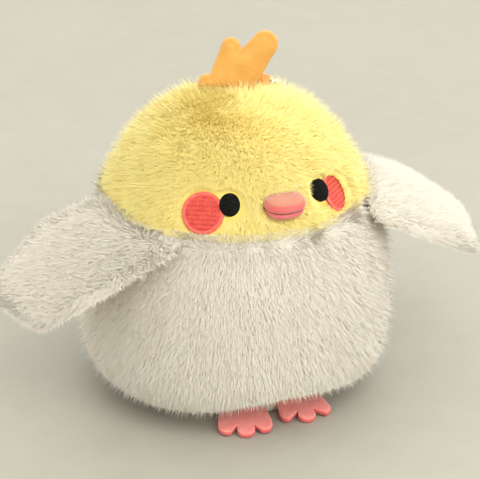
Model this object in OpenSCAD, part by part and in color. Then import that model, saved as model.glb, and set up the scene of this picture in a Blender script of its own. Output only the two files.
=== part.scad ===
// Round plush cockatiel keychain: a stuffed faux-fur bird with two sewn-in wings, a felt crest,
// felt feet, embroidered eyes and cheeks, and a ball chain through a ribbon loop.
// Millimetres. +Z is up and the bird faces -Y, so +X is the bird's left. The origin is the centre of
// the flat base, on the surface that the bird stands on. Radii are taken over the tips of the pile.

/* [Body] */
// Largest radius of the body over the pile
body_r = 48.8; // [48:0.2:50]
// Height of the widest section
waist_z = 28; // [27:0.5:29]
// Height of the crown
top_z = 96.5; // [95:0.5:98]
// Height of the seam between the white body and the yellow head
neck_z = 67; // [66:0.5:68]
// Depth below the widest section at which the lower curve would close
lower_span = 31; // [30.5:0.25:32]
// How much the head narrows towards the crown, as a share of the radius
crown_taper = 0.16; // [0.14:0.01:0.18]
// Swell of the white body between the waist and the neck
belly_swell = 1.2; // [0.8:0.1:1.5]
// Hollow of the head between the neck and the crown
brow_dip = 0.8; // [0.5:0.1:1]
// Thickness of the faux fur, backing and pile together
cover_t = 5; // [4.8:0.1:5.2]
// Radius of the flat base panel
base_r = 28.4; // [28:0.1:28.6]
// Thickness of the base panel
base_t = 1.5; // [1.2:0.1:1.6]

/* [Face] */
// Turn of each eye away from the middle of the face, in degrees
eye_turn = 24; // [23.5:0.5:24.5]
// Height of the eyes
eye_z = 76.3; // [76:0.1:76.6]
// Half width of an eye
eye_half_w = 3.1; // [2.9:0.1:3.2]
// Half height of an eye
eye_half_h = 3.5; // [3.2:0.1:3.6]
// Turn of each cheek away from the middle of the face, in degrees
cheek_turn = 36.5; // [36:0.5:37]
// Height of the cheeks
cheek_z = 73.7; // [73.5:0.1:74]
// Outer radius of a cheek
cheek_r = 6.5; // [6.3:0.1:6.6]
// Width of the satin-stitched border of a cheek
border_w = 1; // [0.8:0.1:1.2]
// Depth of the embroidery below the tips of the pile
patch_depth = 1.6; // [1.4:0.1:1.8]
// Thickness of the embroidery
patch_t = 1; // [0.8:0.1:1.2]
// Height of the line between the two halves of the beak
mouth_z = 74.8; // [74.6:0.1:75]
// How far the beak stands out of the pile
beak_reach = 6; // [5.5:0.1:6.5]
// Half width of the upper half of the beak
beak_half_w = 6.9; // [6.6:0.1:7.2]
// Thickness of the upper half of the beak
upper_beak_t = 2.5; // [2.2:0.1:2.8]
// Thickness of the lower half of the beak
lower_beak_t = 2.9; // [2.6:0.1:3]

/* [Wings] */
// Place of the middle of the right wing's sewn edge
wing_root = [-38, -13, 68];
// Turn of the sewn edge in plan, in degrees
wing_yaw = 18; // [16:1:20]
// Rise of the sewn edge towards the back, in degrees
wing_pitch = 6.5; // [5:0.5:8]
// Droop of the wing below its sewn edge at rest, in degrees
wing_droop = 34; // [32:1:36]
// Thickness of the whole wing
wing_t = 5; // [4.8:0.1:5.2]
// Thickness of the short-pile lining under the wing
lining_t = 0.8; // [0.6:0.1:1]
// Thickness of the batting in the wing
batting_t = 1.2; // [1:0.1:1.4]
// How far the wing swings down from rest, in degrees
wing_down = 15; // [10:1:15]
// How far the wing swings up from rest, in degrees
wing_up = 75; // [60:1:75]

/* [Crest] */
// Place of the middle of the crest's sewn edge
crest_foot = [1, 9, 96.2];
// Turn of the crest in plan, in degrees
crest_yaw = -33; // [-36:1:-30]
// Thickness of the whole crest
crest_t = 2.4; // [2:0.1:2.6]
// Width of the seam that joins the crest's two panels round their edge
crest_seam = 1; // [0.8:0.1:1.2]

/* [Feet] */
// Thickness of the felt
felt_t = 2; // [1.8:0.1:2.2]
// Place of the middle of each foot's sewn edge: right, then left
foot_places = [[-9.3, -29.6], [9.7, -29.1]];
// Turn of each foot in plan, in degrees: right, then left
foot_turns = [-15, -3];
// Length of each foot from its sewn edge to the roots of the toes: right, then left
foot_lens = [8.7, 7.3];
// Slope of the feet from the seam down to the table, in degrees
foot_slope = 11; // [10:0.5:12]
// Radius of the toes
toe_r = 2.8; // [2.7:0.05:2.85]

/* [Loop and chain] */
// Place of the chain's first bead, in the hanging loop
loop_place = [13.5, 8.5, 96.8];
// Turn of the chain away from straight back, in degrees
chain_yaw = -22; // [-24:1:-20]
// Lean of the chain to the side that the head falls away to, in degrees
chain_roll = 12; // [11:1:13]
// Radius of a bead
bead_r = 1; // [0.95:0.05:1]
// Distance between beads along the chain
pitch = 2.8; // [2.75:0.05:2.85]
// Half the distance between the chain's two runs
run_half = 5; // [4.9:0.1:5.1]
// Width of the ribbon of the hanging loop
ribbon_w = 3.2; // [2.8:0.1:3.2]
// Thickness of the ribbon
ribbon_t = 0.6; // [0.5:0.1:0.6]

/* [Hidden] */

far = 150;             // longer than anything that it cuts
slack = 0.05;          // play between two pieces that are sewn together
hinge_gap = 0.35;      // play between a swinging piece and what it swings past
neck_thread_depth = 3.6; // how deep in the pile the thread of the neck seam lies

fur_yellow = [0.95, 0.87, 0.47];
fur_white = [0.93, 0.9, 0.84];
cloth_cream = [0.88, 0.8, 0.68];
fibre_white = [0.97, 0.97, 0.95];
crest_orange = [0.97, 0.73, 0.31];
felt_pink = [0.92, 0.52, 0.5];
coral = [0.94, 0.34, 0.28];
coral_light = [0.96, 0.46, 0.42];
beak_peach = [0.96, 0.65, 0.55];
thread_black = [0.12, 0.12, 0.11];
steel = [0.78, 0.79, 0.8];

// ---- Outline of the bird: a cubic superellipse that narrows to the crown ----

lower_start = -asin(pow(waist_z / lower_span, 1.5));
neck_start = asin(pow((neck_z - waist_z) / (top_z - waist_z), 1.5));

// How far the pile stands out from the plain curve at height z.
function swell(z) =
    z > neck_z ? -brow_dip * sin(180 * (z - neck_z) / (top_z - neck_z))
    : z > waist_z ? belly_swell * sin(180 * (z - waist_z) / (neck_z - waist_z))
    : 0;

// Radius over the pile at height z.
function radius_at(z) =
    let (s = (z - waist_z) / (z > waist_z ? top_z - waist_z : lower_span))
    body_r * pow(max(0, 1 - pow(abs(s), 3)), 1 / 3) * (1 - crown_taper * max(0, s)) + swell(z);

// Height on the curve at parameter t, from lower_start at the base to 90 at the crown.
function height_at(t) =
    waist_z + (t > 0 ? top_z - waist_z : lower_span) * sign(t) * pow(abs(sin(t)), 2 / 3);

function on_curve(t) = [radius_at(height_at(t)), height_at(t)];

// The point a given depth below the pile, square to the curve.
function under_curve(t, depth) =
    t > 89.9 ? [0, top_z - depth]
    : let (a = on_curve(t - 0.5), b = on_curve(min(90, t + 0.5)), run = norm(b - a))
      on_curve(t) - depth * [b.y - a.y, a.x - b.x] / run;

steps = 20;
curve_stops = [
    for (i = [0:steps]) lower_start + (neck_start - lower_start) * i / steps,
    for (i = [1:steps]) neck_start + (90 - neck_start) * i / steps
];

// How far the surface leans back from upright at height z.
function lean_at(z) = atan2(radius_at(z - 0.5) - radius_at(z + 0.5), 1);

// ---- The sewn shell and what fills it ----

module shell() {
    outside = [for (t = curve_stops) on_curve(t)];
    inside = [for (i = [len(curve_stops) - 1:-1:0]) under_curve(curve_stops[i], cover_t)];
    hem = [[base_r + 0.9, base_t], [base_r + 0.9, 0]];
    rotate_extrude($fn = 96) polygon(concat(outside, inside, hem));
}

module above_neck() {
    translate([-far / 2, -far / 2, neck_z]) cube(far);
}

module below_neck() {
    translate([-far / 2, -far / 2, neck_z - far]) cube(far);
}

// side is -1 for the bird's right and 1 for its left.
module half_space_x(side) {
    translate([side * far / 2, 0, 0]) cube([far, 2 * far, 2 * far], center = true);
}

module half_space_y(side) {
    translate([0, side * far / 2, 0]) cube([2 * far, far, 2 * far], center = true);
}

module neck_thread(half) {
    rotate_extrude($fn = 96)
        translate([radius_at(neck_z) - neck_thread_depth, neck_z]) square(2 * half, center = true);
}

module head_side(side) {
    color(fur_yellow) difference() {
        intersection() {
            shell();
            above_neck();
            half_space_x(side);
        }
        neck_thread(0.4 + slack);
        wing_room(side);
        on_face(side * eye_turn, eye_z) patch_pocket() eye_outline(slack);
        cheek_pocket(side);
        beak_half(beak_half_w, beak_reach, mouth_z, upper_beak_t);
        beak_half(beak_half_w - 0.8, beak_reach - 1.5, mouth_z - lower_beak_t, lower_beak_t);
        crest_room();
        if (side > 0) loop_room();
    }
}

module body_side(side) {
    color(fur_white) difference() {
        intersection() {
            shell();
            below_neck();
            half_space_y(side);
        }
        neck_thread(0.4 + slack);
        wing_room(-1);
        wing_room(1);
        if (side < 0) {
            foot_room(0);
            foot_room(1);
            cheek_pocket(-1);
            cheek_pocket(1);
        }
    }
}

module head_right_panel() head_side(-1);

module head_left_panel() head_side(1);

module belly_panel() body_side(-1);

module back_panel() body_side(1);

module base_panel() color(cloth_cream) cylinder(h = base_t, r = base_r, $fn = 96);

module stuffing() {
    inside = [for (t = curve_stops) under_curve(t, cover_t)];
    color(fibre_white) difference() {
        rotate_extrude($fn = 96) polygon(concat([[0, base_t], [base_r + 0.9, base_t]], inside));
        foot_room(0);
        foot_room(1);
    }
}

// The wings are sewn into the neck seam, so its thread stops at each of them.
module neck_seam_thread() {
    color(fur_white) difference() {
        neck_thread(0.4);
        wing_room(-1);
        wing_room(1);
    }
}

module base_seam_thread() {
    color(fur_white) rotate_extrude($fn = 96) translate([base_r, 0.3]) square([0.9, 0.9]);
}

// ---- Face ----

// Puts what is drawn in XY, with +Z outward and +Y up, on the pile at a turn and a height.
module on_face(turn, z) {
    rotate([0, 0, turn]) translate([0, -radius_at(z), z]) rotate([90 - lean_at(z), 0, 0]) children();
}

module patch() {
    translate([0, 0, -patch_depth - patch_t]) linear_extrude(patch_t) children();
}

module patch_pocket() {
    translate([0, 0, -patch_depth - patch_t]) linear_extrude(patch_depth + patch_t + 4) children();
}

module cheek_pocket(side) {
    on_face(side * cheek_turn, cheek_z) patch_pocket() circle(cheek_r + slack, $fn = 64);
}

module eye_outline(grow) {
    polygon([for (a = [0:7.5:352.5]) [(eye_half_w + grow) * cos(a), (eye_half_h + grow) * sin(a)]]);
}

module eye(side) {
    color(thread_black) on_face(side * eye_turn, eye_z) patch() eye_outline(0);
}

module cheek(side) {
    color(coral) difference() {
        on_face(side * cheek_turn, cheek_z) patch() circle(cheek_r - border_w, $fn = 64);
        on_face(side * eye_turn, eye_z) patch_pocket() eye_outline(slack);
    }
}

module cheek_border(side) {
    color(coral_light) difference() {
        on_face(side * cheek_turn, cheek_z) patch() difference() {
            circle(cheek_r, $fn = 64);
            circle(cheek_r - border_w, $fn = 64);
        }
        on_face(side * eye_turn, eye_z) patch_pocket() eye_outline(slack);
    }
}

module right_eye() eye(-1);

module left_eye() eye(1);

module right_cheek() cheek(-1);

module left_cheek() cheek(1);

module right_cheek_border() cheek_border(-1);

module left_cheek_border() cheek_border(1);

// One half of the beak: a blunt rounded tongue whose back is sewn into the head.
module beak_half(half_w, reach, z, t) {
    root_depth = 3;
    front = [for (a = [0:9:180]) [half_w * cos(a), -reach * pow(sin(a), 0.7)]];
    translate([0, -radius_at(mouth_z), z]) linear_extrude(t)
        polygon(concat(front, [[-half_w, root_depth], [half_w, root_depth]]));
}

module upper_beak() color(beak_peach) beak_half(beak_half_w, beak_reach, mouth_z, upper_beak_t);

module lower_beak() {
    color(felt_pink)
        beak_half(beak_half_w - 0.8, beak_reach - 1.5, mouth_z - lower_beak_t, lower_beak_t - slack);
}

// ---- Wings: the sewn edge is a hinge along local Y, and the wing spreads towards local -X ----

module on_wing_hinge(side) {
    mirror([side > 0 ? 1 : 0, 0, 0])
        translate(wing_root) rotate([0, 0, wing_yaw]) rotate([wing_pitch, 0, 0]) children();
}

// Outline of the wing, pulled in all round by the inset but never past the sewn edge.
module wing_outline(inset) {
    root = 0.2;
    intersection() {
        hull() {
            translate([-4.5, -18.5]) circle(4.5 - inset, $fn = 32);
            translate([-39, -1.5]) circle(7.5 - inset, $fn = 32);
            translate([-35, 13]) circle(12 - inset, $fn = 32);
            translate([-20, 13]) circle(13 - inset, $fn = 32);
            translate([-4, 13.5]) circle(4 - inset, $fn = 32);
            translate([-1, -18]) square([1, 31]);
        }
        translate([-far - root - inset, -far / 2]) square([far, far]);
    }
}

module wing_layer(side, from, thick, inset) {
    on_wing_hinge(side) rotate([0, -wing_droop, 0])
        translate([0, 0, from]) linear_extrude(thick) wing_outline(inset);
}

// The space that the wing's root sweeps, cut out of the head and the body. Drawn across the hinge,
// with X outward: a round back, and a mouth as long as the cover is thick.
module wing_room(side) {
    reach = wing_t / 2 + hinge_gap;
    mouth = 24;
    low = wing_droop + wing_down + 2;
    high = wing_up + 2 - wing_droop;
    back = [for (i = [0:12]) let (a = 90 + high + (180 - high - low) * i / 12)
        reach * [cos(a), sin(a)]];
    on_wing_hinge(side) rotate([90, 0, 0]) translate([0, 0, -18.2]) mirror([1, 0, 0])
        linear_extrude(41.8) polygon(concat(back, [
            back[12] + mouth * [cos(low), -sin(low)], back[0] + mouth * [cos(high), sin(high)]
        ]));
}

module wing_batting(side) {
    color(fibre_white) wing_layer(side, -wing_t / 2 + lining_t, batting_t, 2);
}

module wing_cover(side) {
    color(fur_white) difference() {
        wing_layer(side, -wing_t / 2 + lining_t, wing_t - lining_t, 0);
        wing_layer(side, -wing_t / 2 + lining_t - 1, batting_t + 1, 2);
    }
}

module wing_lining(side) {
    color(cloth_cream) wing_layer(side, -wing_t / 2, lining_t, 0);
}

module right_wing_cover() wing_cover(-1);

module right_wing_batting() wing_batting(-1);

module right_wing_lining() wing_lining(-1);

module left_wing_cover() wing_cover(1);

module left_wing_batting() wing_batting(1);

module left_wing_lining() wing_lining(1);

// ---- Crest: three lobes in a flat panel that bends about its sewn edge ----

// A lobe that narrows or widens from a round foot to a round tip.
module lobe(from, from_r, to, to_r) {
    run = to - from;
    lean = atan2(run.y, run.x);
    side = acos((from_r - to_r) / norm(run));
    tip = [for (k = [-1:0.08:1]) to + to_r * [cos(lean + k * side), sin(lean + k * side)]];
    back = 180 - side;
    foot = [for (k = [-1:0.08:1]) from - from_r * [cos(lean + k * back), sin(lean + k * back)]];
    polygon(concat(tip, foot));
}

module crest_outline(inset) {
    intersection() {
        union() {
            lobe([-6.3, -4], 2.6 - inset, [-6.3, 1.2], 2.6 - inset);
            lobe([-0.9, 3.5], 4.3 - inset, [1.3, 13.1], 3 - inset);
            lobe([4.8, 1], 4 - inset, [8, 9.2], 5 - inset);
            lobe([8, 9.2], 5 - inset, [12, 14.8], 4.1 - inset);
            translate([-6.3, -4]) square([14.6 - inset, 6.4]);
        }
        translate([-far / 2, -crest_t / 2 + inset]) square(far);
    }
}

module crest_layer(from, thick, inset) {
    translate(crest_foot) rotate([0, 0, crest_yaw]) rotate([90, 0, 0])
        translate([0, 0, from]) linear_extrude(thick) crest_outline(inset);
}

// The groove in the pile that the crest's sewn edge turns in.
module crest_room() {
    translate(crest_foot) rotate([0, 0, crest_yaw]) translate([-11, 0, 0.8])
        rotate([0, 90, 0]) cylinder(h = 21.5, r = 2.8, $fn = 48);
}

fill_t = 0.8;

module crest_front_panel() {
    color(crest_orange) difference() {
        crest_layer(0, crest_t / 2, 0);
        crest_layer(-1, fill_t / 2 + 1, crest_seam);
    }
}

module crest_back_panel() {
    color(crest_orange) difference() {
        crest_layer(-crest_t / 2, crest_t / 2, 0);
        crest_layer(-fill_t / 2, fill_t / 2 + 1, crest_seam);
    }
}

module crest_filling() color(fibre_white) crest_layer(-fill_t / 2, fill_t, crest_seam);

// ---- Feet: felt cut with three toes, sewn in at the edge of the base ----

foot_half_w = 8.4;
middle_toe_lead = 1.6;

// Height of the middle of a foot's sewn edge, with the middle toe on the table.
function foot_root_z(i) =
    felt_t / 2 * cos(foot_slope) + (foot_lens[i] + middle_toe_lead + toe_r) * sin(foot_slope);

module place_foot(i, z) {
    translate([foot_places[i].x, foot_places[i].y, z]) rotate([0, 0, foot_turns[i]]) children();
}

module foot(i) {
    len = foot_lens[i];
    color(felt_pink) place_foot(i, foot_root_z(i)) rotate([foot_slope, 0, 0]) {
        rotate([0, 90, 0]) cylinder(h = 13.6, r = felt_t / 2, center = true, $fn = 32);
        translate([0, 0, -felt_t / 2]) linear_extrude(felt_t) {
            polygon([
                [-6.8, 0], [-7.8, -3.4], [-foot_half_w, -6.8], [-foot_half_w, -len],
                [foot_half_w, -len], [foot_half_w, -6.8], [7.8, -3.4], [6.8, 0]
            ]);
            for (toe = [-1:1])
                translate([toe * 5.6, -len - middle_toe_lead * (1 - abs(toe))]) circle(toe_r, $fn = 48);
        }
    }
}

// The hollow under the belly that a foot lies and bends in.
module foot_room(i) {
    place_foot(i, -1) translate([-foot_half_w - 0.8, -16, 0])
        cube([2 * foot_half_w + 1.6, 17.5, foot_root_z(i) + felt_t / 2 + 2]);
}

module right_foot() foot(0);

module left_foot() foot(1);

// ---- Hanging loop and ball chain ----

// Local X is the loop's axis, local Y runs back along the chain, local Z is up off the head.
module on_chain() {
    translate(loop_place) rotate([0, 0, chain_yaw]) rotate([0, chain_roll, 0]) children();
}

loop_hole_r = bead_r + 0.6;

module along_x(h, r) {
    rotate([0, 90, 0]) cylinder(h = h, r = r, center = true, $fn = 48);
}

module ribbon(grow) {
    stem = 2 * (ribbon_t + grow);
    along_x(ribbon_w + 2 * grow, loop_hole_r + ribbon_t + grow);
    translate([-ribbon_w / 2 - grow, -stem / 2, -6.2 - grow]) cube([ribbon_w + 2 * grow, stem, 5]);
}

module hanging_loop() {
    color(crest_orange) on_chain() difference() {
        ribbon(0);
        along_x(far, loop_hole_r);
    }
}

module loop_room() on_chain() ribbon(slack);

// Tilt of each chain section below the level, chosen so that the chain follows the head.
tilts = [18, 43, 56, 64, 67];
section_beads = 4;
section_len = section_beads * pitch;
bead_hole_r = 0.5;
link_r = 0.2;

// Where a strand is, arc length a from the middle of a turn: straight for m, then a round corner.
function strand(a, m) =
    let (c = run_half - m, arc = PI * c / 2, turn = (a - m) * 180 / (PI * c))
    a < m ? [a, 0]
    : a < m + arc ? [m + c * sin(turn), c * (1 - cos(turn))]
    : [run_half, c + a - m - arc];

function strand_turn(a, m) = a < m ? 0 : min(90, (a - m) * 180 / (PI * (run_half - m)));

first_len = strand(5 * pitch, 0).y;
end_m = pitch / 2;
end_len = strand(5.5 * pitch, end_m).y;

// Start of section k in the chain's own upright plane.
function section_start(k) =
    k == 0 ? [0, 0]
    : section_start(k - 1)
      + (k == 1 ? first_len : section_len) * [cos(tilts[k - 1]), -sin(tilts[k - 1])];

module on_section(k) {
    start = section_start(k);
    on_chain() translate([0, start.x, start.y]) rotate([-tilts[k], 0, 0]) children();
}

module bead() {
    rotate([0, 90, 0]) rotate_extrude($fn = 32) intersection() {
        circle(bead_r, $fn = 32);
        translate([bead_hole_r, -bead_r]) square(2 * bead_r);
    }
}

module strand_bead(a, m) {
    p = strand(a, m);
    for (side = a == 0 ? [1] : [-1, 1])
        translate([side * p.x, p.y, 0]) rotate([0, 0, side * strand_turn(a, m)]) bead();
}

// A link between two points, ending a given distance from each bead's centre.
module link(p, q, p_end, q_end) {
    run = q - p;
    translate([p.x, p.y, 0]) rotate([0, 0, atan2(run.y, run.x)]) rotate([0, 90, 0])
        translate([0, 0, p_end]) cylinder(h = norm(run) - p_end - q_end, r = link_r, $fn = 16);
}

link_end = bead_r - 0.25;
hinge_end = bead_r + slack;

module strand_link(a, m, p_end, q_end) {
    p = strand(a, m);
    q = strand(a + pitch, m);
    for (side = [-1, 1])
        link([side * p.x, p.y], [side * q.x, q.y], p_end, q_end);
}

module first_beads() for (i = [0:4]) strand_bead(i * pitch, 0);

module middle_beads() for (i = [0:3], side = [-1, 1])
    translate([side * run_half, i * pitch, 0]) rotate([0, 0, 90]) bead();

module last_beads() translate([0, end_len, 0]) mirror([0, 1, 0])
    for (i = [0:5]) strand_bead((i + 0.5) * pitch, end_m);

module first_links() {
    for (i = [0:4]) strand_link(i * pitch, 0, link_end, i == 4 ? hinge_end : link_end);
}

module middle_links() for (i = [0:3], side = [-1, 1])
    link([side * run_half, i * pitch], [side * run_half, (i + 1) * pitch], link_end,
         i == 3 ? hinge_end : link_end);

module last_links() translate([0, end_len, 0]) mirror([0, 1, 0])
    for (i = [0:4]) strand_link((i + 0.5) * pitch, end_m, link_end, link_end);

module chain_beads(k) {
    color(steel) on_section(k)
        if (k == 0) first_beads();
        else if (k == 4) last_beads();
        else middle_beads();
}

module chain_links(k) {
    color(steel) on_section(k)
        if (k == 0) first_links();
        else if (k == 4) last_links();
        else middle_links();
}

module chain_beads_1() chain_beads(0);

module chain_beads_2() chain_beads(1);

module chain_beads_3() chain_beads(2);

module chain_beads_4() chain_beads(3);

module chain_beads_5() chain_beads(4);

module chain_links_1() chain_links(0);

module chain_links_2() chain_links(1);

module chain_links_3() chain_links(2);

module chain_links_4() chain_links(3);

module chain_links_5() chain_links(4);

// The sleeve that the chain's two end beads snap into, slotted along its outer side.
module chain_connector() {
    sleeve_len = 5.4;
    color(steel) on_section(4) translate([0, end_len, 0]) difference() {
        along_x(sleeve_len, bead_r + 0.5);
        along_x(sleeve_len - 0.5, bead_r + 0.1);
        along_x(far, bead_r - 0.1);
        translate([-bead_r - 0.1, 0, -bead_r - 0.1]) cube([2 * bead_r + 0.2, far, 2 * bead_r + 0.2]);
        translate([-far / 2, 0, -0.35]) cube([far, far, 0.7]);
    }
}

head_right_panel();
head_left_panel();
belly_panel();
back_panel();
base_panel();
stuffing();
neck_seam_thread();
base_seam_thread();
right_eye();
left_eye();
right_cheek();
left_cheek();
right_cheek_border();
left_cheek_border();
upper_beak();
lower_beak();
hanging_loop();
right_wing_cover();
right_wing_batting();
right_wing_lining();
left_wing_cover();
left_wing_batting();
left_wing_lining();
crest_front_panel();
crest_filling();
crest_back_panel();
right_foot();
left_foot();
chain_beads_1();
chain_beads_2();
chain_beads_3();
chain_beads_4();
chain_beads_5();
chain_links_1();
chain_links_2();
chain_links_3();
chain_links_4();
chain_links_5();
chain_connector();
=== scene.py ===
"""Looks of the round plush cockatiel keychain: faux fur, embroidery, felt and a ball chain.

Lengths in the helpers are millimetres in the part's frame, with +Z up and the bird facing -Y.
Meshes are made in metres.
"""

import math

import bpy
import numpy as np
from mathutils import Matrix, Vector, geometry


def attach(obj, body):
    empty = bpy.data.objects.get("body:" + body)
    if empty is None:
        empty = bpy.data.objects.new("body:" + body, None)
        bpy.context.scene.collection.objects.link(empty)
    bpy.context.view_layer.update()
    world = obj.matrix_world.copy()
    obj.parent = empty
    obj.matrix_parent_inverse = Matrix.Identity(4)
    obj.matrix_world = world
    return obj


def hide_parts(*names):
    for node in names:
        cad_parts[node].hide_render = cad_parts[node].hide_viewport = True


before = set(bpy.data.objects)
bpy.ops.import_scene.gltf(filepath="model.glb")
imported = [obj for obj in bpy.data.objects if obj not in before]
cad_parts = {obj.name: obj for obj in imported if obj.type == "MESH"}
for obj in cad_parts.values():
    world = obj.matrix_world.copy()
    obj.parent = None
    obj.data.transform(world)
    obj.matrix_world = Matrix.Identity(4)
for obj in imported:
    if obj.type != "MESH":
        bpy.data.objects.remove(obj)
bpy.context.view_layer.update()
MM = 0.001  # one millimetre in metres
scene = bpy.context.scene

# ---------------------------------------------- camera

AZIMUTH = math.radians(-22)
ELEVATION = math.radians(25)
DISTANCE = 650
LENS = 152.6
# what the camera aims at: a height on the axis, and an offset across its own view
AIM_HEIGHT = 44
AIM_RIGHT = 1.79
AIM_UP = 3.35


def camera():
    flat = math.cos(ELEVATION)
    back = Vector((math.sin(AZIMUTH) * flat, -math.cos(AZIMUTH) * flat, math.sin(ELEVATION)))
    right = Vector((math.cos(AZIMUTH), math.sin(AZIMUTH), 0))
    up = back.cross(right)
    aim = Vector((0, 0, AIM_HEIGHT)) + AIM_RIGHT * right + AIM_UP * up
    data = bpy.data.cameras.new("camera")
    data.lens = LENS
    data.sensor_width = 36
    obj = bpy.data.objects.new("camera", data)
    axes = Matrix((right, up, back)).transposed().to_4x4()
    obj.matrix_world = Matrix.Translation((aim + DISTANCE * back) * MM) @ axes
    scene.collection.objects.link(obj)
    scene.camera = obj


camera()

# ---------------------------------------------- numbers and fields


def unit(v):
    return v / np.maximum(np.linalg.norm(v, axis=-1, keepdims=True), 1e-9)


def smooth(x):
    """An eased step from 0 to 1 while x goes from 0 to 1."""
    x = np.clip(x, 0, 1)
    return x * x * (3 - 2 * x)


def flattened(v, nrm):
    """v without its part along the normal."""
    return v - (v * nrm).sum(1)[:, None] * nrm


def field(p, size, seed):
    """A smooth random field of about -1 to 1 over points p, with features of that size, and its slope."""
    waves = 7
    g = np.random.default_rng(seed)
    k = unit(g.normal(size=(waves, 3))) * g.uniform(0.7, 1.5, (waves, 1))
    phase = p @ k.T * (2 * math.pi / size) + g.uniform(0, 2 * math.pi, waves)
    return np.sin(phase).mean(1) * 1.8, np.cos(phase) @ k / waves * 1.8


def spaced(loop, count=0, step=1.0):
    """A closed outline as that many evenly spaced points, or as points about a step apart."""
    closed = np.concatenate([loop, loop[:1]])
    run = np.concatenate([[0], np.cumsum(np.linalg.norm(np.diff(closed, axis=0), axis=1))])
    even = np.linspace(0, run[-1], (count or int(run[-1] / step)) + 1)[:-1]
    return np.stack([np.interp(even, run, closed[:, k]) for k in (0, 1)], 1)


def lin(*rgb):
    """Linear colour of an 0 to 255 display colour."""
    return tuple((c / 255 / 12.92) if c <= 10 else ((c / 255 + 0.055) / 1.055) ** 2.4 for c in rgb) + (1.0,)


# ---------------------------------------------- materials


def nodes_of(name):
    mat = bpy.data.materials.new(name)
    mat.use_nodes = True
    tree = mat.node_tree
    return mat, tree, tree.nodes["Principled BSDF"]


def ramp(tree, fac, stops):
    node = tree.nodes.new("ShaderNodeValToRGB")
    els = node.color_ramp.elements
    while len(els) < len(stops):
        els.new(0.5)
    for el, (pos, col) in zip(els, stops):
        el.position, el.color = pos, col
    tree.links.new(fac, node.inputs["Fac"])
    return node.outputs["Color"]


def texture(tree, kind, scale, **sockets):
    node = tree.nodes.new(kind)
    node.inputs["Scale"].default_value = scale
    for key, value in sockets.items():
        node.inputs[key].default_value = value
    coords = tree.nodes.new("ShaderNodeTexCoord").outputs["Object"]
    tree.links.new(coords, node.inputs["Vector"])
    return node.outputs["Fac"]


def mixed(tree, mode, fac, a, b):
    node = tree.nodes.new("ShaderNodeMix")
    node.data_type, node.blend_type = "RGBA", mode
    node.inputs["Factor"].default_value = fac
    tree.links.new(a, node.inputs["A"])
    tree.links.new(b, node.inputs["B"])
    return node.outputs["Result"]


def bumped(tree, bsdf, fac, strength, depth):
    height = tree.nodes.new("ShaderNodeBump")
    height.inputs["Strength"].default_value = strength
    height.inputs["Distance"].default_value = depth
    tree.links.new(fac, height.inputs["Height"])
    tree.links.new(height.outputs["Normal"], bsdf.inputs["Normal"])


def fur_material(name, roots, tips, shades, through):
    """Colour runs from root to tip along V of the strand, and from strand to strand along U.

    A share of the light, through, also comes through the fibre. The root colour is painted light deep in the
    pile: painted shade where it is darker than the tip, and a painted lift of that shade where it is lighter.
    """
    mat, tree, bsdf = nodes_of(name)
    uv = tree.nodes.new("ShaderNodeUVMap")
    uv.uv_map = "OFBake"
    split = tree.nodes.new("ShaderNodeSeparateXYZ")
    tree.links.new(uv.outputs["UV"], split.inputs["Vector"])
    # root colour: painted shade deep in the pile where darker than the tip, painted light lifting that shade
    # where lighter
    along = ramp(tree, split.outputs["Y"], [(0.0, roots), (0.8, tips), (1.0, tips)])
    shade = ramp(tree, split.outputs["X"], shades)
    colour = mixed(tree, "MULTIPLY", 1.0, along, shade)
    tree.links.new(colour, bsdf.inputs["Base Color"])
    bsdf.inputs["Roughness"].default_value = 0.7
    bsdf.inputs["Specular IOR Level"].default_value = 0.2
    bsdf.inputs["Sheen Weight"].default_value = 0.3
    bsdf.inputs["Sheen Roughness"].default_value = 0.5
    glow = tree.nodes.new("ShaderNodeBsdfTranslucent")
    tree.links.new(colour, glow.inputs["Color"])
    mix = tree.nodes.new("ShaderNodeMixShader")
    mix.inputs["Fac"].default_value = through
    tree.links.new(bsdf.outputs["BSDF"], mix.inputs[1])
    tree.links.new(glow.outputs["BSDF"], mix.inputs[2])
    tree.links.new(mix.outputs["Shader"], tree.nodes["Material Output"].inputs["Surface"])
    return mat


def cloth_material(name, low, high, patch=180.0, grain=2600.0, bump=0.35, rough=0.9, sheen=0.35):
    """Short-pile plush or felt: mottled colour, and a fine fibrous grain."""
    mat, tree, bsdf = nodes_of(name)
    broad = texture(tree, "ShaderNodeTexNoise", patch, Detail=4.0)
    fine = texture(tree, "ShaderNodeTexNoise", grain, Detail=6.0, Roughness=0.7)
    mix = mixed(tree, "MIX", 0.55, broad, fine)
    tree.links.new(ramp(tree, mix, [(0.36, low), (0.62, high)]), bsdf.inputs["Base Color"])
    bumped(tree, bsdf, fine, bump, 0.0002)
    bsdf.inputs["Roughness"].default_value = rough
    bsdf.inputs["Sheen Weight"].default_value = sheen
    return mat


def thread_material(name, low, high, rough=0.45, sheen=0.2, gloss=0.5):
    """Rayon embroidery thread: soft gloss, with the ply twisting round it."""
    mat, tree, bsdf = nodes_of(name)
    tone = texture(tree, "ShaderNodeTexNoise", 900.0, Detail=3.0)
    tree.links.new(ramp(tree, tone, [(0.35, low), (0.65, high)]), bsdf.inputs["Base Color"])
    ply = texture(tree, "ShaderNodeTexWave", 1500.0, Distortion=2.0)
    bumped(tree, bsdf, ply, 0.3, 0.00005)
    bsdf.inputs["Roughness"].default_value = rough
    bsdf.inputs["Sheen Weight"].default_value = sheen
    bsdf.inputs["Specular IOR Level"].default_value = gloss
    return mat


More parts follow.
